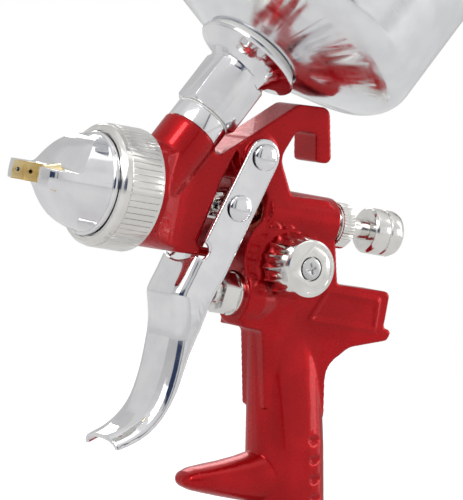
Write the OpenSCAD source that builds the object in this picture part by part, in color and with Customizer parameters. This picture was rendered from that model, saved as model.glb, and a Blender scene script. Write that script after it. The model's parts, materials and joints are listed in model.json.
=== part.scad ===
// Gravity-feed HVLP spray gun, in millimetres.
// Working frame: the barrel axis is X and the gun sprays towards -X, its left side is -Y, +Z is up,
// and zero is the centre of the cap ring's front face. placed() then moves every node so that the
// model's own origin is the centre of the air inlet's open end.

/* [Barrel and air cap] */
// Outer diameter of the knurled cap ring
ring_od = 38; // [37:0.5:42]
// Length of the cap ring
ring_len = 14.8; // [13:0.2:16]
// Diameter of the barrel behind the cap ring
barrel_d = 33; // [31:0.5:34]
// Diameter of the air cap's collar, where it leaves the ring
cap_d = 31.9; // [31:0.1:32.2]
// How far the air cap is turned from level horns, in degrees
cap_turn = 4; // [0:1:90]
// How far the horns reach in front of the cap ring
horn_reach = 23.5; // [22:0.5:26]
// Height of each horn
horn_h = 5.8; // [5:0.2:7]
// Free width between the two horns' tips
horn_gap = 16; // [15:0.5:17]

/* [Feed neck and cup] */
// Where the feed neck's axis meets the barrel's axis
feed_x = 19.5; // [18:0.5:21]
// Lean of the feed neck and cup, towards the back, from vertical
feed_tilt = 32.1; // [30:0.1:34]
// Hexagon of the cup adapter, across flats
adapter_af = 18.1; // [17:0.1:19]
// Diameter of the adapter's flange
flange_d = 34; // [30:1:36]
// Outer diameter of the cup
cup_d = 93; // [85:1:100]
// Wall thickness of the cup
cup_wall = 0.9; // [0.8:0.1:1.5]
// Height of the cup's straight wall
cup_straight = 82; // [60:1:95]

/* [Body casting] */
// Thickness of the cast body between the trigger's arms
body_t = 13; // [12.4:0.1:13]
// Lean of the handle, backwards as it goes down, from vertical
handle_tilt = 12; // [10:0.5:14]
// Length of the handle below its root
handle_len = 102; // [95:1:110]
// Depth of the handle from front to back
handle_depth = 24.4; // [23:0.2:26]
// Width of the handle at its lower end
handle_w = 19; // [17:0.5:21]
// Spacing of the grip grooves
groove_pitch = 6.2; // [6:0.1:7]

/* [Trigger] */
// Outer width of the pressed trigger
trigger_w = 20.6; // [20:0.1:21.4]
// Thickness of the trigger's sheet
trigger_t = 1.6; // [1.2:0.1:1.6]
// Width of each trigger arm
arm_w = 11.5; // [11:0.5:12.5]
// Radius of the domed pin and screw heads on the arms
head_r = 4.2; // [3.8:0.1:4.6]

/* [Controls] */
// Diameter of the fan knob at its base
fan_knob_d = 21.2; // [20:0.2:22]
// Number of flutes on the fan knob
fan_flutes = 16; // [12:1:18]
// Diameter of the fluid knob
fluid_knob_d = 14.6; // [13:0.2:16]
// Diameter of the fluid knob's lock ring
lock_ring_d = 14.4; // [13:0.2:15]

/* [Hidden] */
$fn = 96;

gap = 0.05;                     // radial clearance of every fit
half_t = body_t / 2;

ring_r = ring_od / 2;
ring_bore = 17.05;              // thread of the cap ring, over the barrel's spigot
cap_r = cap_d / 2;

pivot = [54.1, 16.8];           // trigger pivot, in x and z
puller = [48, 0];               // needle puller, on the barrel axis
arm_tilt = atan2(pivot.x - puller.x, pivot.y - puller.y);

needle_r = 1.25;
collar_x = 52.85;               // front face of the needle collar
valve_z = -26.5;                // axis of the air valve
valve_face = 58;                // front face of the air valve's boss
stem_tip = 33.4;                // front end of the valve stem, behind the trigger's front
chamber_r = 4.8;                // bore of the air valve's chamber
arm_inside = trigger_w / 2 - trigger_t;

fan = [71, -14.7];              // fan valve's axis, in x and z
fan_pad = 7.4;                  // distance of the fan valve's pad from the middle plane
fan_face = 20.7;                // distance of the fan knob's face from the middle plane

handle_root = [79.9, 0, -40];
handle_dir = [sin(handle_tilt), 0, -cos(handle_tilt)];
inlet_hex_len = 6.5;
inlet_thread_len = 11.5;
inlet_len = inlet_hex_len + inlet_thread_len;
inlet_r = 6.58;                 // outside of a quarter-inch pipe thread
inlet_end = handle_root + (handle_len + inlet_len) * handle_dir;

flange_s = 54.7;                // flange's rim, along the feed axis
cone_s = 57;                    // start of the cup's cone
wall_s = 73.5;                  // start of the cup's straight wall
rim_s = wall_s + cup_straight;
cup_r = cup_d / 2;

// ---------- curves and profiles ----------

function unit(v) = v / norm(v);

// Points of an arc of radius r that rounds the corner b between a and c.
function corner_arc(a, b, c, r, n = 5) =
    let (u = unit(a - b), w = unit(c - b), half = acos(u * w) / 2,
         m = b + unit(u + w) * r / sin(half), p = b + u * r / tan(half), q = b + w * r / tan(half),
         a0 = atan2(p.y - m.y, p.x - m.x), a1 = atan2(q.y - m.y, q.x - m.x),
         turn = (a1 - a0 + 540) % 360 - 180)
    [for (i = [0:n]) m + r * [cos(a0 + turn * i / n), sin(a0 + turn * i / n)]];

// Outline through corners [x, z, radius]; a radius of 0 keeps the corner sharp.
function rounded(c) =
    let (n = len(c))
    [for (i = [0:n - 1])
        let (a = c[(i + n - 1) % n], b = c[i], d = c[(i + 1) % n])
        each (b[2] > 0 ? corner_arc([a.x, a.y], [b.x, b.y], [d.x, d.y], b[2]) : [[b.x, b.y]])];

// One point of a Catmull-Rom curve between b and c.
function smooth_at(a, b, c, d, t) =
    0.5 * (2 * b + (c - a) * t + (2 * a - 5 * b + 4 * c - d) * t * t + (3 * b - a - 3 * c + d) * t * t * t);

// Smooth curve through the given points, n steps for each stretch.
function smooth(p, n = 4) =
    let (k = len(p) - 1)
    [for (i = [0:k - 1], j = [0:n - 1])
        smooth_at(p[max(i - 1, 0)], p[i], p[i + 1], p[min(i + 2, k)], j / n), p[k]];

// Outline of n flat ridges with narrow grooves between them.
function knurled(r, depth, n) =
    [for (i = [0:n - 1], k = [[0, -0.4], [0, 0.4], [1, 0.46], [1, 0.54]])
        let (a = 360 * (i + k[1]) / n) (r - depth * k[0]) * [cos(a), sin(a)]];

// Ring of n teeth with straight flanks.
function serrated(r, depth, n) =
    [for (i = [0:2 * n - 1]) let (q = i % 2 == 0 ? r : r - depth) q * [cos(180 * i / n), sin(180 * i / n)]];

// Rounded section of half-width b (along y) and half-depth a (along x).
function section(a, b, power = 2.6, n = 36) =
    [for (i = [0:n - 1])
        let (c = cos(360 * i / n), s = sin(360 * i / n))
        [a * sign(c) * pow(abs(c), 2 / power), b * sign(s) * pow(abs(s), 2 / power)]];

// Solid that passes through a list of closed loops with equal numbers of points. Each end is a
// strip between the first half of its loop and the second half, so it may be a bent section.
module loft(loops) {
    m = len(loops);
    n = len(loops[0]);
    sides = [for (i = [0:m - 2], j = [0:n - 1]) each [
        [i * n + j, (i + 1) * n + j, (i + 1) * n + (j + 1) % n],
        [i * n + j, (i + 1) * n + (j + 1) % n, i * n + (j + 1) % n]]];
    last = (m - 1) * n;
    ends = [for (j = [0:n / 2 - 2]) each [
        [j, j + 1, n - 2 - j], [j, n - 2 - j, n - 1 - j],
        [last + j, last + n - 2 - j, last + j + 1], [last + j, last + n - 1 - j, last + n - 2 - j]]];
    polyhedron(points = [for (l = loops) each l], faces = concat(sides, ends), convexity = 8);
}

// Coil of round wire about Z, from height 0 to length.
module coil(r, wire, length, turns) {
    steps = 14;
    sides = 6;
    loft([for (i = [0:turns * steps])
        let (a = 360 * i / steps, z = wire + (length - 2 * wire) * i / (turns * steps))
        [for (j = [0:sides - 1])
            let (b = -360 * j / sides, q = r + wire * cos(b))
            [q * cos(a), q * sin(a), z + wire * sin(b)]]]);
}

// ---------- placing ----------

module placed() { translate(-inlet_end) children(); }
module on_barrel(z = 0) { translate([0, 0, z]) rotate([0, 90, 0]) children(); }
module on_feed(s = 0) { translate([feed_x, 0, 0]) rotate([0, feed_tilt, 0]) translate([0, 0, s]) children(); }
module on_handle(s = 0) { translate(handle_root + s * handle_dir) rotate([0, 180 - handle_tilt, 0]) children(); }
module on_fan(d = 0) { translate([fan.x, -d, fan.y]) rotate([90, 0, 0]) children(); }
module on_pin(p) { translate([p.x, 0, p.y]) rotate([90, 0, 0]) children(); }
module both_sides() { children(); mirror([0, 1, 0]) children(); }

// Body of revolution: the points are [radius, place along the axis].
module turned(points) { rotate_extrude() polygon(points); }
module ring(r_out, r_in, h) { difference() { cylinder(r = r_out, h = h); translate([0, 0, -1]) cylinder(r = r_in, h = h + 2); } }
// Plate of thickness t about the middle plane, from corners [x, z, radius].
module plate(t, corners) { rotate([90, 0, 0]) linear_extrude(height = t, center = true) polygon(rounded(corners)); }
module hexagon(af, h, phase = 0) { rotate([0, 0, phase]) cylinder(r = af / sqrt(3), h = h, $fn = 6); }
// Low dome of base radius r and height h.
module dome(r, h) { rotate_extrude() polygon([[0, 0], for (a = [0:10:90]) [r * cos(a), h * (0.35 + 0.65 * sin(a))]]); }

// ---------- body casting ----------

// Side outline of the casting behind the barrel: bridge, hook, back, tail and handle root, with the
// trigger's window as the notch that opens downwards.
body_side = [
    [30, 10, 0], [36.5, 17.8, 0], [40, 14.7, 0.8], [66.2, 35, 4], [78, 35.7, 3], [82, 18.4, 2],
    [76.2, 18.2, 1.4], [74.6, 27, 1.2], [67.2, 26.9, 2.5], [62.8, 17.6, 5], [69.2, 6.6, 2.5],
    [85.2, 7.2, 4], [92, -18.4, 1.5], [112.8, -18.1, 2], [112.4, -29.6, 1], [115.8, -30.2, 1.2],
    [114.6, -33.5, 2], [100.5, -37.4, 8], [92.6, -44.5, 8], [95.2, -60, 0], [72.2, -60, 0],
    [66.8, -36.2, 2], [59, -36, 0], [valve_face + 0.5, -17.5, 0], [55.6, -14, 1.4], [55.6, -9.4, 1.4],
    [60, -5, 2], [60, 6.4, 2.4], [57, 9, 1], [42.8, 9, 1], [37.2, -13.4, 1.5], [45.8, -13.5, 1.2],
    [46, -16.3, 1.2], [30, -16.3, 0]];

// Grip section's half-width at distance s below the root.
function grip_half(s) = half_t + (handle_w / 2 - half_t) * min(1, max(0, (s + 2) / 34));

module handle_solid() {
    on_handle()
        loft([for (s = [-6, 0, 8, 16, 24, 32, 44, 60, 80, 94, 99, handle_len])
            let (end = s > 98 ? (s - 98) / 5 : 0)
            [for (p = section(handle_depth / 2 - end, grip_half(s) - end, 2.8)) [p.x, p.y, s]]]);
}

// Finger rest in front of the handle.
module finger_rest() {
    // [distance forward of x = 80, middle height, half-height, half-width]
    stations = [[0, -81.8, 8.2, 8.2], [5, -82, 8, 8], [10, -83, 6.8, 7.6], [16, -83.9, 5.6, 7.2],
                [22, -84.6, 4.5, 6.8], [26.5, -85.1, 3.6, 6], [29.3, -85.5, 2.4, 4.6], [30.6, -85.7, 1, 2.4]];
    loft([for (q = stations)
        [for (p = section(q[2], q[3], 2.3)) [80 - q[0], p.y, q[1] + p.x]]]);
}

module grip_grooves() {
    count = floor((handle_len - 36) / groove_pitch);
    for (i = [0:count])
        on_handle(29.5 + i * groove_pitch)
            difference() {
                translate([-handle_depth / 2 - 2, -15, -1.05]) cube([10.5, 30, 2.1]);
                w = grip_half(29.5 + i * groove_pitch) - 1.1;
                translate([-handle_depth / 2 + 1.2, -w, -2]) cube([20, 2 * w, 4]);
            }
}

// Slanted recess beside the pivot boss, in which the trigger's arm swings.
module arm_recess() {
    difference() {
        translate([0, -half_t - 1, 0])
            rotate([90, 0, 0]) mirror([0, 0, 1]) linear_extrude(height = 4.6)
                polygon([[42.6, 8], [46.7, 18.4], [50.9, 21.6], [57, 12], [57, 8]]);
        on_pin(pivot) cylinder(r = 7.1, h = 30, center = true);
    }
}

// Waist of the barrel: concave flanks that run from the full barrel to the flat sides, cut off along the
// front of the trigger's window.
module barrel_core() {
    flank = [for (a = [0:9:54]) [17.5 + 17.5 * sin(a), half_t + 13.2 * (1 - sin(a + 36))]];
    intersection() {
        on_barrel() cylinder(r = barrel_d / 2, h = 46);
        rotate([90, 0, 0])
            linear_extrude(height = 50, center = true)
                polygon([[-5, -22], [34.7, -22], [42.5, 9], [42.9, 22], [-5, 22]]);
        translate([0, 0, -20])
            linear_extrude(height = 40)
                polygon(concat([[10, 20], [17.2, 20]], flank, [[50, half_t], [50, -half_t]],
                               [for (i = [len(flank) - 1:-1:0]) [flank[i].x, -flank[i].y]],
                               [[17.2, -20], [10, -20]]));
    }
}

// Raised plain frame on the tail.
module tail_frame() {
    rim = 0.9;
    both_sides()
        translate([0, -half_t + 0.3, 0])
            rotate([90, 0, 0])
                linear_extrude(height = 0.75)
                    difference() {
                        polygon(rounded([[88, -20.4, 0.8], [108.8, -20.9, 0.8], [109.2, -31.2, 0.8], [82.6, -31.2, 0.8]]));
                        polygon(rounded([[88 + rim, -20.4 - rim, 0.4], [108.8 - rim, -20.9 - rim, 0.4],
                                         [109.2 - rim, -31.2 + rim, 0.4], [82.6 + 1.6 * rim, -31.2 + rim, 0.4]]));
                    }
}

module body_outside() {
    difference() {
        union() {
            barrel_core();
            on_barrel() translate([0, 0, 4.6]) cylinder(r = ring_bore - 0.1, h = 10.4);
            on_barrel() translate([0, 0, 14]) cylinder(r = barrel_d / 2, h = 4);
            on_feed() cylinder(r = 9.3, h = 24.3);
            plate(body_t, body_side);
            on_barrel() translate([0, 0, 62]) cylinder(r = 8.1, h = 26.2);
            on_barrel(valve_z) translate([0, 0, valve_face]) cylinder(r = 9.3, h = 6);
            on_barrel(valve_z) translate([0, 0, valve_face + 6]) cylinder(r1 = 9.3, r2 = 6, h = 8);
            both_sides() on_fan(0) translate([-2, 1.6, 0]) cylinder(r = 14, h = half_t + 0.35);
            on_fan(0) cylinder(r = 10.6, h = fan_pad);
            on_pin(pivot) cylinder(r = 7.1, h = body_t + 0.7, center = true);
            on_pin(pivot) cylinder(r = 5.4, h = 2 * arm_inside - 0.5, center = true);
            handle_solid();
            finger_rest();
            tail_frame();
        }
        grip_grooves();
        both_sides() arm_recess();
    }
}

module gun_body() {
    color("firebrick")
        placed()
            difference() {
                body_outside();
                // front: nozzle seat, baffle recess, air chamber and nozzle thread
                on_barrel() translate([0, 0, 4]) cylinder(r = 14.5, h = 1.5);
                on_barrel() translate([0, 0, 5]) ring(13, 9.5, 7);
                on_barrel() translate([0, 0, 4]) cylinder(r = 9.4, h = 2.05);
                on_barrel() translate([0, 0, 5]) cylinder(r = 4.4, h = 24);
                // packing thread, packing screw's seat and the needle's passage
                on_barrel() translate([0, 0, 28]) cylinder(r = 3.45, h = 14);
                on_barrel() translate([0, 0, 40]) cylinder(r = 5.4, h = 8);
                on_barrel() translate([0, 0, 58]) cylinder(r = 4.6, h = 31);
                // central air passage over the window
                on_barrel(11.6) translate([0, 0, 8]) cylinder(r = 1.5, h = 54);
                // feed neck
                on_feed() translate([0, 0, 2]) cylinder(r = 4.6, h = 24);
                on_feed() translate([0, 0, 12]) cylinder(r = 6.95, h = 13);
                // flat seat round the feed neck
                on_feed() translate([0, 0, 24.32]) cylinder(r = 9.2, h = 8);
                // pivot, fan valve, air valve and handle passage
                on_pin(pivot) cylinder(r = 3.05, h = 40, center = true);
                on_fan(-1.5) cylinder(r = 4.5, h = 12);
                on_fan(-4.6) cylinder(r = 2.6, h = 12);
                on_barrel(valve_z) translate([0, 0, valve_face - 1]) cylinder(r = chamber_r, h = 26);
                // flat seats of the valve gland and the needle guide
                on_barrel(valve_z) translate([0, 0, valve_face - 10]) cylinder(r = 7.3, h = 10);
                on_barrel() translate([0, 0, 88.2]) cylinder(r = 6.3, h = 6);
                on_handle(-13) cylinder(r = 4, h = handle_len + 14);
                on_handle(handle_len - 9.5) cylinder(r = 5.6, h = 10);
            }
}

// ---------- spray head ----------

// Half of the air cap's outline seen along its horns: [place along the barrel, half-width].
cap_side = [[3.5, 17.5], [-1.7, 17.5], [-1.7, 15.2], [-3, 14.8], [-5.6, 13.6], [-7.6, 12], [-9.2, 9.9],
            [-10.6, 7.4], [-11.9, 4.9], [-12.6, horn_h / 2 + 0.9], [-13.3, horn_h / 2 + 0.2],
            [-14.2, horn_h / 2], [-26, horn_h / 2]];

// Outside of the cap: a tapered round body, milled away on two sides to leave the horns.
module cap_outside() {
    c = cap_d / 2;
    intersection() {
        on_barrel()
            turned([[0, 3], [16.9, 3], [16.9, 1.3], [c, 1.3], [c, -1.2], [c - 0.4, -1.7], [15.2, -1.7], [14.9, -8],
                    [14.3, -13], [13.6, -18], [13.1, -20.8], [12.2, -22.3], [horn_gap / 2, -horn_reach],
                    [0, -horn_reach]]);
        rotate([90, 0, 0])
            linear_extrude(height = 40, center = true)
                polygon(concat(cap_side, [for (i = [len(cap_side) - 1:-1:0]) [cap_side[i].x, -cap_side[i].y]]));
    }
}

module air_cap() {
    color("silver")
        placed()
            rotate([cap_turn, 0, 0])
                difference() {
                    union() {
                        difference() {
                            cap_outside();
                            on_barrel()
                                turned([[0, -30], [horn_gap / 2, -30], [horn_gap / 2, -19.4], [6.7, -19.4],
                                        [6.7, -14.6], [5.9, -13], [0, -12.6]]);
                            both_sides()
                                for (x = [-21.6, -17.7])
                                    translate([x, 5, 0]) rotate([-90, 0, 0]) cylinder(r = 0.7, h = 5.6);
                        }
                        on_barrel() turned([[0, -10.6], [4.9, -10.6], [4.3, -12.4], [3.7, -14.3], [2.9, -17.6], [0, -17.6]]);
                    }
                    on_barrel()
                        turned([[0, -19], [1.9, -19], [1.9, -14.2], [2.9, -12.1], [4.4, -10.2], [6.4, -8.4], [9, -6.4],
                                [12, -3.8], [13.9, -1.2], [14.3, 3.5], [0, 3.5]]);
                    both_sides() translate([-16, 5.3, 0]) rotate([0, 90, 0]) cylinder(r = 0.5, h = 8);
                }
}

module cap_ring() {
    color("gainsboro")
        placed()
            on_barrel()
                difference() {
                    union() {
                        turned([[0, 0], [ring_r - 1.5, 0], [ring_r - 1.1, 0.3], [ring_r - 0.4, 1.2], [ring_r - 0.4, 3.1],
                                [0, 3.1]]);
                        translate([0, 0, 3]) linear_extrude(height = ring_len - 4.2) polygon(knurled(ring_r, 0.5, 60));
                        turned([[0, ring_len - 1.3], [ring_r - 0.25, ring_len - 1.3], [ring_r - 0.25, ring_len - 0.4],
                                [ring_r - 0.6, ring_len], [0, ring_len]]);
                    }
                    translate([0, 0, -1]) cylinder(r = 16.45, h = 4);
                    translate([0, 0, 1.2]) cylinder(r = ring_bore, h = ring_len);
                }
}

module fluid_nozzle() {
    color("goldenrod")
        placed()
            on_barrel()
                difference() {
                    union() {
                        turned([[0, -18.2], [1.5, -18.2], [1.5, -14.2], [2.3, -12], [3.6, -10], [5.2, -8], [6, -6],
                                [6, 4], [9, 4], [9, 6], [4.35, 6], [4.35, 14], [0, 14]]);
                        translate([0, 0, -4]) hexagon(13, 6);
                    }
                    turned([[0, -19], [0.78, -19], [0.78, -13.5], [1.7, -10.5], [2.4, -8.5], [2.4, 15], [0, 15]]);
                }
}

module air_baffle() {
    color("dimgray")
        placed()
            on_barrel()
                difference() {
                    translate([0, 0, 3.2]) ring(14.4, 9.3, 2.2);
                    for (a = [0:30:330])
                        rotate([0, 0, a]) translate([11.8, 0, 0]) cylinder(r = 0.9, h = 8);
                }
}

// ---------- feed neck and cup ----------

module feed_nipple() {
    color("gainsboro")
        placed()
            on_feed()
                difference() {
                    turned([[0, 12.1], [6.9, 12.1], [6.9, 24.35], [8.5, 24.35], [8.9, 24.75], [8.9, 30.2], [8.5, 30.6],
                            [7.5, 30.6], [7.5, 41], [0, 41]]);
                    translate([0, 0, 11]) cylinder(r = 4.6, h = 32);
                }
}

module nipple_washer() { color("white") placed() on_feed(30.62) ring(8.6, 7.55, 0.5); }

module cup_adapter() {
    color("gainsboro")
        placed()
            on_feed()
                difference() {
                    union() {
                        intersection() {
                            translate([0, 0, 31.2]) hexagon(adapter_af, 18, 26);
                            turned([[0, 31.2], [9.1, 31.2], [10.6, 32.6], [10.6, 47.4], [9.2, 49], [0, 49]]);
                        }
                        turned([[0, 47], [9.3, 47], [9.6, 49], [11, 51], [13.6, 52.8], [flange_d / 2 - 0.4, flange_s - 0.9],
                                [flange_d / 2, flange_s - 0.3], [flange_d / 2 - 0.2, flange_s + 0.6], [7.4, flange_s + 0.6],
                                [7.4, 63], [0, 63]]);
                    }
                    translate([0, 0, 30]) cylinder(r = 7.58, h = 12);
                    translate([0, 0, 30]) cylinder(r = 5.4, h = 34);
                }
}

module paint_filter() {
    color("white")
        placed()
            on_feed()
                difference() {
                    turned([[0, 46], [5.3, 46], [5.3, 63.05], [7.2, 63.05], [7.2, 64.2], [0, 64.2]]);
                    turned([[0, 47], [4.5, 47], [4.5, 65], [0, 65]]);
                    for (s = [49:3:61], a = [0:60:120])
                        translate([0, 0, s]) rotate([90, 0, a]) cylinder(r = 0.9, h = 14, center = true);
                }
}

module cup_gasket() { color("white") placed() on_feed(flange_s + 0.62) ring(15.4, 7.5, 1.2); }

module cup_nut() {
    color("gainsboro")
        placed()
            on_feed(57.6)
                difference() {
                    union() { cylinder(r = 13.2, h = 1); hexagon(20, 4.2); }
                    translate([0, 0, -1]) cylinder(r = 7.48, h = 8);
                }
}

module cup_shell() {
    w = cup_wall;
    base = flange_s + 1.84;
    color("silver")
        placed()
            on_feed()
                turned(concat(
                    [[7.5, base], [15.6, base], [17.6, cone_s + 0.3]],
                    [for (a = [0:15:90]) [cup_r - 7 + 7 * sin(a + (90 - a) * 0.31), wall_s + 1 - 7 * cos(a + (90 - a) * 0.31) + 1.2 * a / 90]],
                    [[cup_r, rim_s - 3], [cup_r + 0.9, rim_s - 2.2], [cup_r + 0.9, rim_s - 0.6], [cup_r + 0.4, rim_s],
                     [cup_r - w, rim_s]],
                    [for (a = [90:-15:0]) [cup_r - 7 + (7 - w) * sin(a + (90 - a) * 0.31), wall_s + 1 - (7 - w) * cos(a + (90 - a) * 0.31) + 1.2 * a / 90]],
                    [[17.2, cone_s + 0.3 + w], [15.2, base + w], [7.5, base + w]]));
}

module cup_lid() {
    skirt_r = cup_r + 2.2;
    top = rim_s + 2.6;
    color("silver")
        placed()
            on_feed()
                difference() {
                    union() {
                        turned([[0, top + 6.2], [12, top + 6], [26, top + 4.6], [36, top + 2.4], [cup_r - 3, top + 1.2],
                                [cup_r, top + 1.2], [skirt_r - 0.8, top + 0.6], [skirt_r - 0.8, rim_s - 7],
                                [cup_r + 1.1, rim_s - 7], [cup_r + 1.1, rim_s + 1.2], [cup_r - 4, rim_s + 1.2],
                                [36, rim_s + 3.2], [26, rim_s + 5.4], [12, rim_s + 6.8], [0, rim_s + 7]]);
                        translate([0, 0, rim_s - 6.6])
                            linear_extrude(height = 8.6)
                                difference() {
                                    polygon(serrated(skirt_r, 0.55, 72));
                                    circle(r = cup_r + 1.6);
                                }
                        translate([0, 0, top + 4]) cylinder(r = 3.6, h = 7);
                    }
                    translate([0, 0, rim_s]) cylinder(r = 1.5, h = 20);
                }
}

module lid_gasket() { color("white") placed() on_feed(rim_s + 0.05) ring(cup_r + 0.9, cup_r - 3, 1.1); }

module drip_vent() {
    top = rim_s + 2.6;
    color("dimgray")
        placed()
            on_feed()
                difference() {
                    turned([[0, top + 13.4], [3.4, top + 13.4], [4.9, top + 12.2], [5.4, top + 9], [5.4, top + 6.6],
                            [3.65, top + 6.6], [3.65, top + 11.1], [0, top + 11.1]]);
                    translate([0, 0, top + 10]) cylinder(r = 0.8, h = 2.6);
                }
}

// ---------- trigger ----------

// Front face of the pressed trigger, from its top edge to its lip, as [x, z].
trigger_front = smooth([[34.9, -16.2], [33, -22], [30.7, -28.6], [31.6, -33], [32.8, -38.5], [32.9, -45],
                        [32.3, -54], [30.6, -61.8], [27.6, -67.2], [23, -71.6], [17.2, -74.9]], 3);
// Rear edge of its side flanges, from the arm to the lip.
trigger_rear = smooth([[47.4, -20.9], [43.7, -29.5], [41.3, -38.5], [39, -46.5], [37.9, -52], [36.6, -58.5],
                       [34.2, -64.8], [30.4, -70.6], [25.4, -75.3], [21.6, -77.5]], 3);
trigger_ends = len(trigger_front) - 1;
press_r = 4.2;                  // depth of the pressed corners

// Direction from the trigger's front face into it, at station i.
function inward(i) =
    let (run = unit(trigger_front[min(i + 1, trigger_ends)] - trigger_front[max(i - 1, 0)]))
    [-run.y, run.x];

// Cross-section of the bent front, in [depth, y]: outer side first, then back along the inner side. Its
// corners are press_r deep and wide across.
function web_section(half, wide, t) =
    let (r = press_r, q = r - t, w = wide - t, lead = r + 0.3)
    concat([[lead, -half]], [for (a = [0:15:90]) [r - r * sin(a), -half + wide - wide * cos(a)]],
           [for (a = [90:-15:0]) [r - r * sin(a), half - wide + wide * cos(a)]], [[lead, half]],
           [[lead, half - t]], [for (a = [0:15:90]) [t + q - q * sin(a), half - t - w + w * cos(a)]],
           [for (a = [90:-15:0]) [t + q - q * sin(a), -half + t + w - w * cos(a)]], [[lead, -half + t]]);

module trigger_web() {
    loft([for (i = [0:trigger_ends])
        let (down = i / trigger_ends, lip = max(0, i - trigger_ends + 6) / 6,
             half = trigger_w / 2 - 0.02 - 0.9 * lip * lip)
        [for (p = web_section(half, 4.2 + 4 * down * down, trigger_t - 0.04))
            let (q = trigger_front[i] + p.x * inward(i)) [q.x, p.y, q.y]]]);
}

// Flat side of the trigger: round eye, straight arm with a notch that clears the barrel, and the flange
// behind the front.
module trigger_side() {
    arm = [sin(arm_tilt), cos(arm_tilt)];
    across = [cos(arm_tilt), -sin(arm_tilt)] * arm_w / 2;
    eye = [for (a = [0:12:180]) pivot + arm_w / 2 * [cos(a - arm_tilt), sin(a - arm_tilt)]];
    notch = [pivot - across - 32.6 * arm, [38.7, -12.4], [39.5, -13.3], [39.8, -14.6], [39.4, -15.8], [38.7, -16.7],
             [38.3, -17.6]];
    front = [for (i = [1:trigger_ends - 6]) trigger_front[i] + (press_r - 0.2) * inward(i)];
    rear = [for (i = [trigger_ends - 9:-1:0]) trigger_rear[i]];
    polygon(concat(eye, notch, front, rear));
}

module trigger() {
    color("gainsboro")
        placed()
            difference() {
                union() {
                    difference() {
                        trigger_web();
                        on_barrel() translate([0, 0, 20]) cylinder(r = 18.6, h = 30);
                    }
                    both_sides()
                        translate([0, -trigger_w / 2, 0])
                            rotate([90, 0, 0]) mirror([0, 0, 1]) linear_extrude(height = trigger_t) trigger_side();
                }
                on_pin(pivot) cylinder(r = 3.08, h = 40, center = true);
                on_pin(puller) cylinder(r = 2.45, h = 40, center = true);
            }
}

module trigger_stud() {
    face = trigger_w / 2 + 0.1;
    color("gainsboro")
        placed()
            on_pin(pivot)
                difference() {
                    union() {
                        translate([0, 0, face]) dome(head_r, 1.8);
                        translate([0, 0, -trigger_w / 2]) cylinder(r = 3, h = face + trigger_w / 2 + 0.1);
                    }
                    translate([0, 0, -20]) cylinder(r = 1.95, h = 20);
                }
}

module stud_screw() {
    face = trigger_w / 2 + 0.1;
    color("gainsboro")
        placed()
            on_pin(pivot)
                difference() {
                    union() {
                        translate([0, 0, -face]) mirror([0, 0, 1]) dome(head_r, 1.8);
                        translate([0, 0, -face - 0.1]) cylinder(r = 1.9, h = 7);
                    }
                    translate([-5, -0.5, -face - 3]) cube([10, 1, 2.2]);
                }
}

module needle_puller() {
    slot_h = 7;
    slot_w = 3.2;
    color("gainsboro")
        placed()
            difference() {
                on_pin(puller) cylinder(r = 4.8, h = 2 * arm_inside - 0.2, center = true);
                translate([puller.x - 6, -slot_w / 2, -slot_h / 2]) cube([12, slot_w, slot_h]);
                both_sides() on_pin(puller) translate([0, 0, 3]) cylinder(r = 2.45, h = 8);
            }
}

module puller_screws() {
    face = trigger_w / 2 + 0.05;
    color("gainsboro")
        placed()
            both_sides()
                on_pin(puller) {
                    translate([0, 0, face]) dome(head_r, 1.8);
                    translate([0, 0, 3.4]) cylinder(r = 2.4, h = face - 3.3);
                }
}

// ---------- needle ----------

module fluid_needle() {
    color("silver")
        placed()
            on_barrel()
                turned([[0, -18.4], [0.35, -18.4], [0.68, -13.9], [1, -11.8], [needle_r, -10.4], [needle_r, 93.6],
                    [0.9, 94], [0, 94]]);
}

module needle_collar() {
    color("goldenrod")
        placed()
            on_barrel()
                difference() {
                    turned([[0, collar_x], [3, collar_x], [3, 62.5], [4.5, 62.5], [4.5, 64.6], [0, 64.6]]);
                    translate([0, 0, 50]) cylinder(r = needle_r + 0.01, h = 20);
                }
}

module needle_packing() { color("white") placed() on_barrel() translate([0, 0, 29.05]) ring(3.4, needle_r + gap, 4); }

module packing_screw() {
    color("gainsboro")
        placed()
            on_barrel()
                difference() {
                    union() {
                        translate([0, 0, 33.1]) cylinder(r = 3.4, h = 7.2);
                        translate([0, 0, 40.05]) hexagon(8.2, 2.4);
                    }
                    translate([0, 0, 32]) cylinder(r = needle_r + 0.1, h = 14);
                }
}

module needle_spring() { color("dimgray") placed() on_barrel() translate([0, 0, 64.7]) coil(3.5, 0.4, 11.1, 6); }

module needle_guide() {
    color("gainsboro")
        placed()
            on_barrel()
                difference() {
                    turned([[0, 76], [4.55, 76], [4.55, 88.25], [5.9, 88.25], [5.9, 89.9], [0, 89.9]]);
                    translate([0, 0, 70]) cylinder(r = 3.36, h = 30);
                }
}

module lock_ring() {
    color("gainsboro")
        placed()
            on_barrel()
                difference() {
                    union() {
                        translate([0, 0, 90]) cylinder(r = lock_ring_d / 2 - 0.7, h = 5);
                        translate([0, 0, 90.5]) linear_extrude(height = 4) polygon(serrated(lock_ring_d / 2, 0.4, 44));
                    }
                    translate([0, 0, 85]) cylinder(r = 3.36, h = 15);
                }
}

module needle_stop() {
    color("gainsboro")
        placed()
            on_barrel()
                difference() {
                    turned([[0, 76.2], [3.3, 76.2], [3.3, 103.1], [2.2, 103.1], [2.2, 109], [0, 109]]);
                    translate([0, 0, 70]) cylinder(r = needle_r + 0.1, h = 28.2);
                }
}

module fluid_knob() {
    r = fluid_knob_d / 2;
    color("gainsboro")
        placed()
            on_barrel()
                difference() {
                    turned([[0, 103.15], [r - 0.8, 103.15], [r, 104], [r, 108.4], [r - 0.35, 108.6], [r - 0.35, 109],
                            [r, 109.2], [r, 112.4], [r - 0.7, 114], [r - 2.4, 114.8], [0, 115.1]]);
                    translate([0, 0, 103]) cylinder(r = 2.25, h = 6.1);
                }
}

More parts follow.
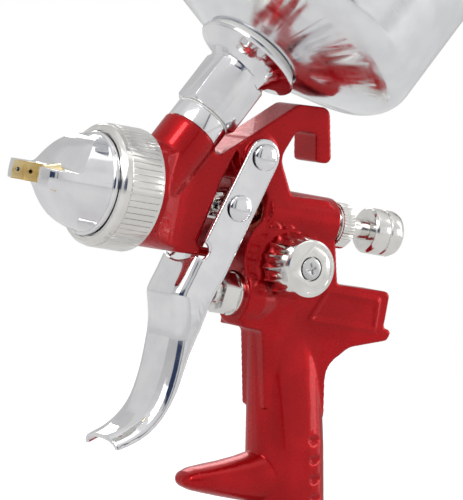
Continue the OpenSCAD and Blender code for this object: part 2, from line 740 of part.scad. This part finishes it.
// ---------- air valve ----------

module valve_gland() {
    color("gainsboro")
        placed()
            on_barrel(valve_z)
                difference() {
                    union() {
                        translate([0, 0, 49]) cylinder(r = 4.2, h = 2.2);
                        translate([0, 0, 50.9]) hexagon(11.7, 5.6, 12);
                        translate([0, 0, 56.4]) cylinder(r = 6.8, h = 1.55);
                        translate([0, 0, 57]) cylinder(r = 4.75, h = 3.4);
                    }
                    translate([0, 0, 48]) cylinder(r = 1.96, h = 20);
                    translate([0, 0, 52]) cylinder(r = 3.3, h = 12);
                }
}

module valve_packing() { color("white") placed() on_barrel(valve_z) translate([0, 0, 52.1]) ring(3.25, 1.96, 3); }

module valve_stem() {
    color("silver")
        placed()
            on_barrel(valve_z)
                turned([[0, stem_tip], [1, stem_tip + 0.08], [1.6, stem_tip + 0.5], [1.9, stem_tip + 1.1], [1.9, 64.5],
                        [1.2, 64.5], [1.2, 69], [0, 69]]);
}

module valve_seat() { color("goldenrod") placed() on_barrel(valve_z) translate([0, 0, 60.5]) ring(4.75, 2.9, 3.2); }

module valve_disc() { color("dimgray") placed() on_barrel(valve_z) translate([0, 0, 64.52]) ring(4.3, 1.21, 2); }

module valve_spring() { color("dimgray") placed() on_barrel(valve_z) translate([0, 0, 66.6]) coil(3.3, 0.4, 16.3, 7); }

// ---------- fan valve ----------

module fan_bush() {
    color("goldenrod")
        placed()
            on_fan()
                difference() {
                    union() {
                        translate([0, 0, 0.4]) cylinder(r = 4.45, h = 7.2);
                        translate([0, 0, fan_pad + 0.02]) hexagon(11, 4.4);
                    }
                    translate([0, 0, -1]) cylinder(r = 2.05, h = 20);
                }
}

module fan_stem() {
    color("silver")
        placed()
            on_fan()
                difference() {
                    turned([[0, -4.4], [1.6, -4.4], [2.45, -2.2], [2.45, -0.1], [2, 0.2], [2, 18.9], [0, 18.9]]);
                    translate([0, 0, 13.5]) cylinder(r = 1.25, h = 6);
                }
}

module fan_seal() { color("dimgray") placed() on_fan(12.1) ring(3.4, 2.05, 1.2); }

module fan_knob() {
    r = fan_knob_d / 2;
    color("gainsboro")
        placed()
            on_fan()
                difference() {
                    turned([[2.02, 19.2], [3.9, 19.2], [3.9, fan_face], [r - 2.3, fan_face], [r - 1.7, 20.3],
                            [r - 1, 17.6], [r - 0.3, 13], [r, 10], [r, 9.1], [r - 0.4, 8.7], [7.2, 8.7], [7.2, 13.6],
                            [2.02, 13.6]]);
                    for (i = [0:fan_flutes - 1])
                        rotate([0, 0, 360 * i / fan_flutes]) translate([r + 0.9, 0, 7]) cylinder(r = 2.2, h = 16);
                    difference() {
                        translate([0, 0, fan_face - 0.25]) ring(7.5, 6.9, 1);
                        translate([0, -10, fan_face - 2]) mirror([1, 0, 0]) cube([20, 20, 5]);
                    }
                }
}

module fan_knob_screw() {
    color("silver")
        placed()
            on_fan()
                difference() {
                    union() {
                        translate([0, 0, 19.25]) cylinder(r1 = 3.55, r2 = 3.4, h = 1.7);
                        translate([0, 0, 14]) cylinder(r = 1.2, h = 5.4);
                    }
                    for (a = [20, 110])
                        rotate([0, 0, a]) translate([-1.8, -0.35, 20.1]) cube([3.6, 0.7, 2]);
                }
}

// ---------- air inlet ----------

module air_inlet() {
    color("gainsboro")
        placed()
            on_handle(handle_len)
                difference() {
                    union() {
                        translate([0, 0, -9.2]) cylinder(r = 5.55, h = 10);
                        intersection() {
                            translate([0, 0, 0.7]) hexagon(17, inlet_hex_len - 0.7);
                            turned([[0, 0.7], [8.9, 0.7], [9.8, 1.6], [9.8, 5.4], [8.6, inlet_hex_len], [0, inlet_hex_len]]);
                        }
                        translate([0, 0, inlet_hex_len - 1]) cylinder(r = inlet_r, h = inlet_thread_len + 1);
                    }
                    translate([0, 0, -12]) cylinder(r = 4, h = 40);
                }
}

module inlet_washer() { color("white") placed() on_handle(handle_len + 0.03) ring(8.2, 5.62, 0.6); }

gun_body();
air_cap();
cap_ring();
fluid_nozzle();
air_baffle();
feed_nipple();
nipple_washer();
cup_adapter();
paint_filter();
cup_gasket();
cup_nut();
cup_shell();
cup_lid();
lid_gasket();
drip_vent();
trigger();
trigger_stud();
stud_screw();
needle_puller();
puller_screws();
fluid_needle();
needle_collar();
needle_packing();
packing_screw();
needle_spring();
needle_guide();
lock_ring();
needle_stop();
fluid_knob();
valve_gland();
valve_packing();
valve_stem();
valve_disc();
valve_seat();
valve_spring();
fan_bush();
fan_stem();
fan_seal();
fan_knob();
fan_knob_screw();
air_inlet();
inlet_washer();
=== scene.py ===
"""Looks of the gravity-feed HVLP spray gun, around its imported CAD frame.

Everything is in metres. Most CAD nodes are replaced by a skin of their own shape with its hard edges eased.
The casting and the trigger, which flow more, are remeshed and smoothed. The nodes in PLAIN keep their mesh.
"""

import json
import math

import bmesh
import bpy
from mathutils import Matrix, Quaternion, Vector

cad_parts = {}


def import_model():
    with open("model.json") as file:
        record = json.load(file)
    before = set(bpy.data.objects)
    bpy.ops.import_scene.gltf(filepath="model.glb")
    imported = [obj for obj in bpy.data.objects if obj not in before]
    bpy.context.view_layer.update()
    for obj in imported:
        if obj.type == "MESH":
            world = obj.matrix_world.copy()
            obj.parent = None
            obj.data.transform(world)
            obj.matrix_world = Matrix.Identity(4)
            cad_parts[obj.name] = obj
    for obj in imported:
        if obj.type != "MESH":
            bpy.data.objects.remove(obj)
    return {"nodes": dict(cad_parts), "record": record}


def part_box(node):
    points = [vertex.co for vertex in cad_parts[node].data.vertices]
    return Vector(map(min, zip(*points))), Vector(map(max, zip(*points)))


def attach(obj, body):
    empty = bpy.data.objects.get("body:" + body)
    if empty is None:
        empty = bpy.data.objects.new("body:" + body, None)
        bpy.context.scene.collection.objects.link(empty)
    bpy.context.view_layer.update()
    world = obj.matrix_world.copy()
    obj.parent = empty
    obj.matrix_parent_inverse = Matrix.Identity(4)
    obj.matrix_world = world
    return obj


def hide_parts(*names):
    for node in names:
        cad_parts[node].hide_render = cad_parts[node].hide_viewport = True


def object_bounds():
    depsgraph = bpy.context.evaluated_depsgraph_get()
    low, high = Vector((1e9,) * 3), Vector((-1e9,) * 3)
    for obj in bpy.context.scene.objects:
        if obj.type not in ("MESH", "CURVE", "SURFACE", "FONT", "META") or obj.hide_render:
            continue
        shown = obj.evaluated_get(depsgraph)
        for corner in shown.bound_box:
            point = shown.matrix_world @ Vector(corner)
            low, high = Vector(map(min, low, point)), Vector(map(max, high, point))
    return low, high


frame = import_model()
cad_low, cad_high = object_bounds()
MM = 0.001


def centre(node):
    low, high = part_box(node)
    return (low + high) / 2


# ---------- directions of the gun ----------

ring_low, ring_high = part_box("cap_ring")
SPRAY_POINT = Vector((ring_low.x, 0, (ring_low.z + ring_high.z) / 2))
BARREL = Vector((1, 0, 0))
ACROSS = Vector((0, 1, 0))
FEED = (centre("cup_lid") - centre("feed_nipple")).normalized()
FEED.y = 0
INLET = Vector(frame["record"]["mounts"][0]["axis"])

# ---------- camera ----------

CAMERA_AZIMUTH = math.radians(-33.88)
CAMERA_ELEVATION = math.radians(0.38)
CAMERA_ROLL = math.radians(9.55)
CAMERA_DISTANCE = 1.2139
CAMERA_OFFSET = (0.04267, -0.01897)     # how far right of the spray point, and above it, the camera aims
LENS = 288.8
SHIFT = (-0.0013, -0.0079)


def make_camera():
    """Stands CAMERA_DISTANCE from the spray point, and is rolled about its line of sight."""
    data = bpy.data.cameras.new("camera")
    data.lens = LENS
    data.sensor_width = 36
    data.shift_x, data.shift_y = SHIFT
    data.clip_start = 0.05
    data.clip_end = 50
    cam = bpy.data.objects.new("camera", data)
    bpy.context.scene.collection.objects.link(cam)
    back = Vector((math.sin(CAMERA_AZIMUTH) * math.cos(CAMERA_ELEVATION),
                   -math.cos(CAMERA_AZIMUTH) * math.cos(CAMERA_ELEVATION), math.sin(CAMERA_ELEVATION)))
    turn = (-back).to_track_quat("-Z", "Y") @ Quaternion((0, 0, 1), CAMERA_ROLL)
    right, up = turn @ Vector((1, 0, 0)), turn @ Vector((0, 1, 0))
    cam.rotation_mode = "QUATERNION"
    cam.rotation_quaternion = turn
    cam.location = SPRAY_POINT + back * CAMERA_DISTANCE + right * CAMERA_OFFSET[0] + up * CAMERA_OFFSET[1]
    bpy.context.scene.camera = cam


# ---------- node helpers ----------

class Nodes:
    """Short ways to add and join shader nodes in one tree."""

    def __init__(self, tree):
        self.tree = tree

    def add(self, kind, inputs=(), **settings):
        node = self.tree.nodes.new(kind)
        for name, value in settings.items():
            setattr(node, name, value)
        for name, value in dict(inputs).items():
            self.join(value, node.inputs[name])
        return node

    def join(self, value, socket):
        if isinstance(value, bpy.types.NodeSocket):
            self.tree.links.new(value, socket)
        else:
            socket.default_value = value

    def math(self, operation, a, b=0.0):
        node = self.tree.nodes.new("ShaderNodeMath")
        node.operation = operation
        self.join(a, node.inputs[0])
        self.join(b, node.inputs[1])
        return node.outputs[0]

    def spread(self, value, low, high, to_low, to_high):
        node = self.add("ShaderNodeMapRange", {"Value": value, "From Min": low, "From Max": high,
                                               "To Min": to_low, "To Max": to_high})
        node.interpolation_type = "SMOOTHSTEP"
        return node.outputs[0]

    def noise(self, vector, scale, detail=3.0, roughness=0.5):
        node = self.add("ShaderNodeTexNoise", {"Vector": vector, "Scale": scale, "Detail": detail,
                                               "Roughness": roughness})
        return node.outputs["Fac"]

    def mix(self, factor, a, b):
        node = self.add("ShaderNodeMix", data_type="RGBA")
        self.join(factor, node.inputs[0])
        self.join(a, node.inputs[6])
        self.join(b, node.inputs[7])
        return node.outputs[2]


def along(nodes, point, axis):
    """Distance along an axis, in metres."""
    node = nodes.add("ShaderNodeVectorMath", {0: point, 1: tuple(axis)}, operation="DOT_PRODUCT")
    return node.outputs["Value"]


def new_material(name, colour, metallic, **sockets):
    made = bpy.data.materials.new(name)
    made.use_nodes = True
    shader = made.node_tree.nodes["Principled BSDF"]
    shader.inputs["Base Color"].default_value = (*colour, 1)
    shader.inputs["Metallic"].default_value = metallic
    for socket, value in sockets.items():
        shader.inputs[socket.replace("_", " ")].default_value = value
    nodes = Nodes(made.node_tree)
    point = nodes.add("ShaderNodeTexCoord").outputs["Object"]
    return made, shader, nodes, point


def vary(nodes, shader, point, colour, other, scale):
    """Lets the base colour wander a little between two close colours."""
    blotch = nodes.spread(nodes.noise(point, scale, 4), 0.35, 0.65, 0, 1)
    nodes.join(nodes.mix(blotch, (*colour, 1), (*other, 1)), shader.inputs["Base Color"])


def roughen(nodes, shader, value, low, high):
    nodes.join(nodes.spread(value, 0.3, 0.7, low, high), shader.inputs["Roughness"])


def bump(nodes, shader, height, distance, strength=1.0):
    node = nodes.add("ShaderNodeBump", {"Height": height, "Distance": distance, "Strength": strength})
    nodes.join(node.outputs[0], shader.inputs["Normal"])


# ---------- materials ----------

CHROME = (0.86, 0.86, 0.87), (0.80, 0.80, 0.82)
NICKEL = (0.85, 0.84, 0.81), (0.78, 0.77, 0.74)
BRASS = (0.86, 0.74, 0.46), (0.80, 0.66, 0.38)
STEEL = (0.70, 0.70, 0.70), (0.58, 0.58, 0.59)
ALUMINIUM = (0.88, 0.89, 0.90), (0.82, 0.83, 0.85)
HORN_GAP = 16 * MM          # width of the gap between the air cap's horns
HORN_FROM = 14.1 * MM       # how far ahead of the ring the horns stand free
CONE_R = 4.4 * MM           # radius of the cone round the spray opening
CONE_FROM = 12.6 * MM       # how far ahead of the ring that cone starts


def red_enamel():
    colour, deep = (0.47, 0.005, 0.009), (0.38, 0.003, 0.006)
    made, shader, nodes, point = new_material(
        "red_enamel", colour, 0.6, Coat_Weight=0.32, Coat_Roughness=0.035, Specular_IOR_Level=0.05)
    vary(nodes, shader, point, colour, deep, 60)
    roughen(nodes, shader, nodes.noise(point, 900, 2), 0.26, 0.36)
    peel = nodes.noise(point, 420, 2)
    cast = nodes.noise(point, 90, 3)
    bump(nodes, shader, nodes.math("ADD", peel, nodes.math("MULTIPLY", cast, 2.5)), 0.00003, 0.5)
    return made


def air_cap_metal():
    """Chrome outside; bare brass in the gap that is turned out between the horns."""
    made, shader, nodes, point = new_material("air_cap_metal", CHROME[0], 1.0)
    off = nodes.add("ShaderNodeVectorMath", {0: point, 1: tuple(SPRAY_POINT)}, operation="SUBTRACT")
    part = nodes.add("ShaderNodeSeparateXYZ", {0: off.outputs[0]})
    across = nodes.math("POWER", part.outputs["Y"], 2.0)
    height = nodes.math("POWER", part.outputs["Z"], 2.0)
    radius = nodes.math("SQRT", nodes.math("ADD", across, height))
    gap = nodes.math("MULTIPLY", nodes.math("LESS_THAN", radius, HORN_GAP / 2 + 0.05 * MM),
                     nodes.math("LESS_THAN", part.outputs["X"], -HORN_FROM))
    cone = nodes.math("MULTIPLY", nodes.math("LESS_THAN", radius, CONE_R),
                      nodes.math("LESS_THAN", part.outputs["X"], -CONE_FROM))
    blotch = nodes.spread(nodes.noise(point, 140, 4), 0.35, 0.65, 0, 1)
    chrome = nodes.mix(blotch, (*CHROME[0], 1), (*CHROME[1], 1))
    brass = nodes.mix(blotch, (*BRASS[0], 1), (*BRASS[1], 1))
    bare = nodes.math("MAXIMUM", gap, cone)
    nodes.join(nodes.mix(bare, chrome, brass), shader.inputs["Base Color"])
    place = nodes.math("MULTIPLY", along(nodes, point, BARREL), 4000)
    groove = nodes.add("ShaderNodeTexNoise", {"W": place, "Scale": 1.0, "Detail": 4.0}, noise_dimensions="1D")
    fine = nodes.spread(groove.outputs["Fac"], 0.3, 0.7, 0.05, 0.12)
    nodes.join(nodes.math("ADD", fine, nodes.math("MULTIPLY", bare, 0.26)), shader.inputs["Roughness"])
    bump(nodes, shader, groove.outputs["Fac"], 0.000004, 0.7)
    return made


def plated(name, colour, other, low, high, axis=None, lines=0.0, wave=0.00001):
    """Plated metal. Where an axis is given, fine turning lines run around it."""
    made, shader, nodes, point = new_material(name, colour, 1.0)
    vary(nodes, shader, point, colour, other, 140)
    if axis is None:
        roughen(nodes, shader, nodes.noise(point, 260, 4), low, high)
        bump(nodes, shader, nodes.noise(point, 70, 3), wave, 0.6)
        return made
    place = nodes.math("MULTIPLY", along(nodes, point, axis), lines)
    groove = nodes.add("ShaderNodeTexNoise", {"W": place, "Scale": 1.0, "Detail": 4.0}, noise_dimensions="1D")
    roughen(nodes, shader, nodes.math("MULTIPLY", nodes.math("ADD", groove.outputs["Fac"],
                                                            nodes.noise(point, 300, 3)), 0.5), low, high)
    bump(nodes, shader, groove.outputs["Fac"], wave, 0.7)
    return made


def plastic(name, colour, other, low, high):
    made, shader, nodes, point = new_material(name, colour, 0.0, Specular_IOR_Level=0.5)
    vary(nodes, shader, point, colour, other, 200)
    roughen(nodes, shader, nodes.noise(point, 1500, 3), low, high)
    bump(nodes, shader, nodes.noise(point, 1800, 2), 0.00002, 0.4)
    return made


LOOKS = {
    "red_enamel": red_enamel(),
    "chrome": plated("chrome", *CHROME, 0.03, 0.08, wave=0.000006),
    "air_cap_metal": air_cap_metal(),
    "nickel_barrel": plated("nickel_barrel", *NICKEL, 0.10, 0.22, BARREL, 6000, 0.000006),
    "nickel_feed": plated("nickel_feed", *CHROME, 0.06, 0.14, FEED, 5000, 0.000004),
    "nickel_across": plated("nickel_across", *NICKEL, 0.10, 0.20, ACROSS, 6000, 0.000005),
    "nickel_inlet": plated("nickel_inlet", *NICKEL, 0.10, 0.24, INLET, 5000, 0.000006),
    "spun_aluminium": plated("spun_aluminium", *ALUMINIUM, 0.10, 0.20, FEED, 1500, 0.000008),
    "brass": plated("brass", *BRASS, 0.14, 0.26, BARREL, 6000, 0.000006),
    "stainless": plated("stainless", *STEEL, 0.16, 0.30, BARREL, 8000, 0.000005),
    "spring_steel": plated("spring_steel", (0.45, 0.45, 0.46), (0.35, 0.35, 0.37), 0.22, 0.34),
    "white_nylon": plastic("white_nylon", (0.86, 0.86, 0.83), (0.80, 0.80, 0.76), 0.35, 0.5),
    "black_rubber": plastic("black_rubber", (0.020, 0.020, 0.021), (0.030, 0.030, 0.030), 0.5, 0.7),
    "black_nylon": plastic("black_nylon", (0.028, 0.028, 0.030), (0.040, 0.040, 0.041), 0.35, 0.55),
}

# What each node is finished in.
FINISH = {
    "red_enamel": ["gun_body"],
    "chrome": ["trigger", "trigger_stud", "stud_screw", "puller_screws"],
    "air_cap_metal": ["air_cap"],
    "nickel_barrel": ["cap_ring", "packing_screw", "needle_guide", "lock_ring", "needle_stop", "fluid_knob",
                      "valve_gland"],
    "nickel_feed": ["feed_nipple", "cup_adapter", "cup_nut"],
    "nickel_across": ["fan_bush", "fan_knob", "needle_puller"],
    "nickel_inlet": ["air_inlet"],
    "spun_aluminium": ["cup_shell", "cup_lid"],
    "brass": ["fluid_nozzle", "needle_collar", "valve_seat"],
    "stainless": ["fluid_needle", "valve_stem", "fan_stem", "fan_knob_screw"],
    "spring_steel": ["needle_spring", "valve_spring"],
    "white_nylon": ["nipple_washer", "paint_filter", "cup_gasket", "lid_gasket", "needle_packing",
                    "valve_packing", "inlet_washer"],
    "black_rubber": ["valve_disc", "fan_seal"],
    "black_nylon": ["air_baffle", "drip_vent"],
}
LOOK_OF = {node: look for look, members in FINISH.items() for node in members}
BODY_OF = {node: body for body, members in frame["record"]["behaviour"]["bodies"].items() for node in members}


# ---------- meshes ----------

HARD_EDGE = math.radians(30)    # an edge that bends more than this is rounded


def stand_for(node, mesh):
    """A piece with that mesh, in place of the CAD node."""
    piece = bpy.data.objects.new(node + "_skin", mesh)
    bpy.context.scene.collection.objects.link(piece)
    mesh.materials.clear()
    mesh.materials.append(LOOKS[LOOK_OF[node]])
    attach(piece, BODY_OF[node])
    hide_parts(node)


def welded(node):
    """The node's mesh with its doubled points joined, ready to be worked on."""
    made = bmesh.new()
    made.from_mesh(frame["nodes"][node].data)
    bmesh.ops.remove_doubles(made, verts=made.verts, dist=0.002 * MM)
    return made


def shade(mesh, sharp):
    """Smooth shading, except over edges that bend more than that many degrees."""
    mesh.shade_smooth()
    mesh.set_sharp_from_angle(angle=math.radians(sharp))


def eased(node, width):
    """The node with every hard edge broken by a small round."""
    made = welded(node)
    bmesh.ops.dissolve_limit(made, angle_limit=math.radians(0.4), verts=made.verts, edges=made.edges)
    hard = [e for e in made.edges if len(e.link_faces) == 2 and e.calc_face_angle(0) > HARD_EDGE]
    bmesh.ops.bevel(made, geom=hard, offset=width, segments=2, profile=0.6, affect="EDGES", clamp_overlap=True)
    mesh = bpy.data.meshes.new(node + "_skin")
    made.to_mesh(mesh)
    made.free()
    shade(mesh, 38)
    stand_for(node, mesh)


def softened(node, voxel, rounds, keep):
    """The node as a casting or pressing: remeshed and smoothed, so that its edges and corners flow."""
    made = welded(node)
    mesh = bpy.data.meshes.new(node + "_skin")
    made.to_mesh(mesh)
    made.free()
    holder = bpy.data.objects.new("holder", mesh)
    bpy.context.scene.collection.objects.link(holder)
    remesh = holder.modifiers.new("remesh", "REMESH")
    remesh.mode = "VOXEL"
    remesh.voxel_size = voxel
    smooth = holder.modifiers.new("smooth", "SMOOTH")
    smooth.factor = 0.5
    smooth.iterations = rounds
    fewer = holder.modifiers.new("fewer", "DECIMATE")
    fewer.ratio = keep
    tree = bpy.context.evaluated_depsgraph_get()
    result = bpy.data.meshes.new_from_object(holder.evaluated_get(tree))
    bpy.data.objects.remove(holder)
    result.name = node + "_skin"
    shade(result, 60)
    stand_for(node, result)


# ---------- studio ----------

FLOOR_GAP = 0.5 * MM        # the floor lies this far under the object
WHITE = (1, 1, 1, 1)
FLOOR = (0.66, 0.66, 0.66), (0.64, 0.64, 0.64)
FLOOR_GLOW = 0.55           # what the camera sees on top of the floor's own shade, so that it looks white


def floor():
    """Plain pale floor."""
    bpy.ops.mesh.primitive_circle_add(vertices=96, radius=4.0, fill_type="NGON",
                                      location=(0.0, 0.0, cad_low.z - FLOOR_GAP))
    made = bpy.context.object
    made.name = "floor"
    look, shader, nodes, point = new_material("floor", FLOOR[0], 0.0)
    shader.inputs["Roughness"].default_value = 0.8
    shader.inputs["Specular IOR Level"].default_value = 0.0
    vary(nodes, shader, point, *FLOOR, 3)
    shader.inputs["Emission Color"].default_value = WHITE
    seen = nodes.add("ShaderNodeLightPath").outputs["Is Camera Ray"]
    nodes.join(nodes.math("MULTIPLY", seen, FLOOR_GLOW), shader.inputs["Emission Strength"])
    made.data.materials.append(look)


def card(nodes, below, direction, toward, half_wide, half_high, colour, edge):
    """Lays one soft-edged card of light, or of dark, over the room behind it."""
    toward = Vector(toward).normalized()
    wide = toward.cross(Vector((0, 0.001, 1))).normalized()
    high = wide.cross(toward)
    mask = nodes.math("GREATER_THAN", along(nodes, direction, toward), 0.0)
    for axis, half in ((wide, half_wide), (high, half_high)):
        off = nodes.math("ABSOLUTE", along(nodes, direction, axis))
        mask = nodes.math("MULTIPLY", mask, nodes.spread(off, half - edge, half + edge, 1, 0))
    return nodes.mix(mask, below, (*colour, 1))


def grey(level):
    return (level, level, level)


# [towards, half-width, half-height, colour, softness of the edge] of each card, the last on top.
CARDS = [
    ((0.10, 0.95, 0.30), 0.75, 0.55, grey(0.58), 0.15),
    ((-0.55, 0.83, 0.05), 0.30, 0.80, grey(0.68), 0.06),
    ((0.557, -0.83, 0.02), 0.38, 0.42, grey(0.78), 0.10),
    ((0.95, -0.25, 0.15), 0.14, 0.60, grey(1.7), 0.03),
    ((-0.80, -0.30, 0.50), 0.30, 0.30, grey(2.4), 0.04),
    ((0.05, -0.25, 1.00), 0.40, 0.34, grey(1.3), 0.05),
    ((-0.557, -0.83, -0.08), 0.34, 0.36, (0.032, 0.048, 0.105), 0.06),
    ((0.12, -0.99, 0.05), 0.035, 0.45, (0.06, 0.07, 0.09), 0.02),
    ((0.80, 0.60, 0.00), 0.08, 0.55, (0.05, 0.05, 0.06), 0.04),
]


def world():
    """A pale room that the metal reflects, with the cards in it. The camera itself sees plain white."""
    made = bpy.data.worlds.new("studio")
    bpy.context.scene.world = made
    made.use_nodes = True
    nodes = Nodes(made.node_tree)
    direction = nodes.add("ShaderNodeTexCoord").outputs["Generated"]
    height = nodes.add("ShaderNodeSeparateXYZ", {0: direction}).outputs["Z"]
    level = nodes.spread(height, -0.3, 0.9, 0.46, 0.80)
    room = nodes.add("ShaderNodeCombineColor", {0: level, 1: level, 2: level}).outputs[0]
    for towards, half_wide, half_high, colour, edge in CARDS:
        room = card(nodes, room, direction, towards, half_wide, half_high, colour, edge)
    seen = nodes.add("ShaderNodeLightPath").outputs["Is Camera Ray"]
    background = made.node_tree.nodes["Background"]
    nodes.join(nodes.mix(seen, room, WHITE), background.inputs["Color"])
    background.inputs["Strength"].default_value = 1.0


# [name, place, size, power] of each area light.
SOFTBOXES = [
    ("key", (-1.1, -0.7, 1.2), 0.5, 5),
    ("side", (1.3, -0.9, 0.5), 0.5, 2.5),
    ("rim", (0.4, 1.3, 1.1), 0.6, 3),
]


def softbox(name, place, size, power):
    """A square area light that faces the middle of the gun."""
    data = bpy.data.lights.new(name, "AREA")
    data.shape = "SQUARE"
    data.size = size
    data.energy = power
    made = bpy.data.objects.new(name, data)
    bpy.context.scene.collection.objects.link(made)
    made.location = place
    middle = (cad_low + cad_high) / 2
    made.rotation_mode = "QUATERNION"
    made.rotation_quaternion = (middle - Vector(place)).to_track_quat("-Z", "Y")


def studio():
    floor()
    world()
    for settings in SOFTBOXES:
        softbox(*settings)
    bpy.context.scene.view_settings.view_transform = "Standard"


# ---------- the gun ----------

make_camera()
# Voxel size, smoothing rounds and share of the triangles kept, of each remeshed node.
SOFT = {"gun_body": (0.42 * MM, 6, 0.3), "trigger": (0.36 * MM, 6, 0.4)}
PLAIN = ["needle_spring", "valve_spring", "paint_filter", "air_baffle"]
# Width of the eased edges in mm, where it isn't EDGE_WIDTH.
EDGE_WIDTH = 0.12
EDGE = {"cap_ring": 0.08, "fan_knob": 0.25, "cup_adapter": 0.25, "valve_gland": 0.2, "air_inlet": 0.25,
        "fluid_knob": 0.25, "lock_ring": 0.06, "cup_lid": 0.1, "air_cap": 0.15}
for node, cad in frame["nodes"].items():
    cad.data.materials.clear()
    cad.data.materials.append(LOOKS[LOOK_OF[node]])
    if node in SOFT:
        softened(node, *SOFT[node])
    elif node not in PLAIN:
        eased(node, EDGE.get(node, EDGE_WIDTH) * MM)
studio()
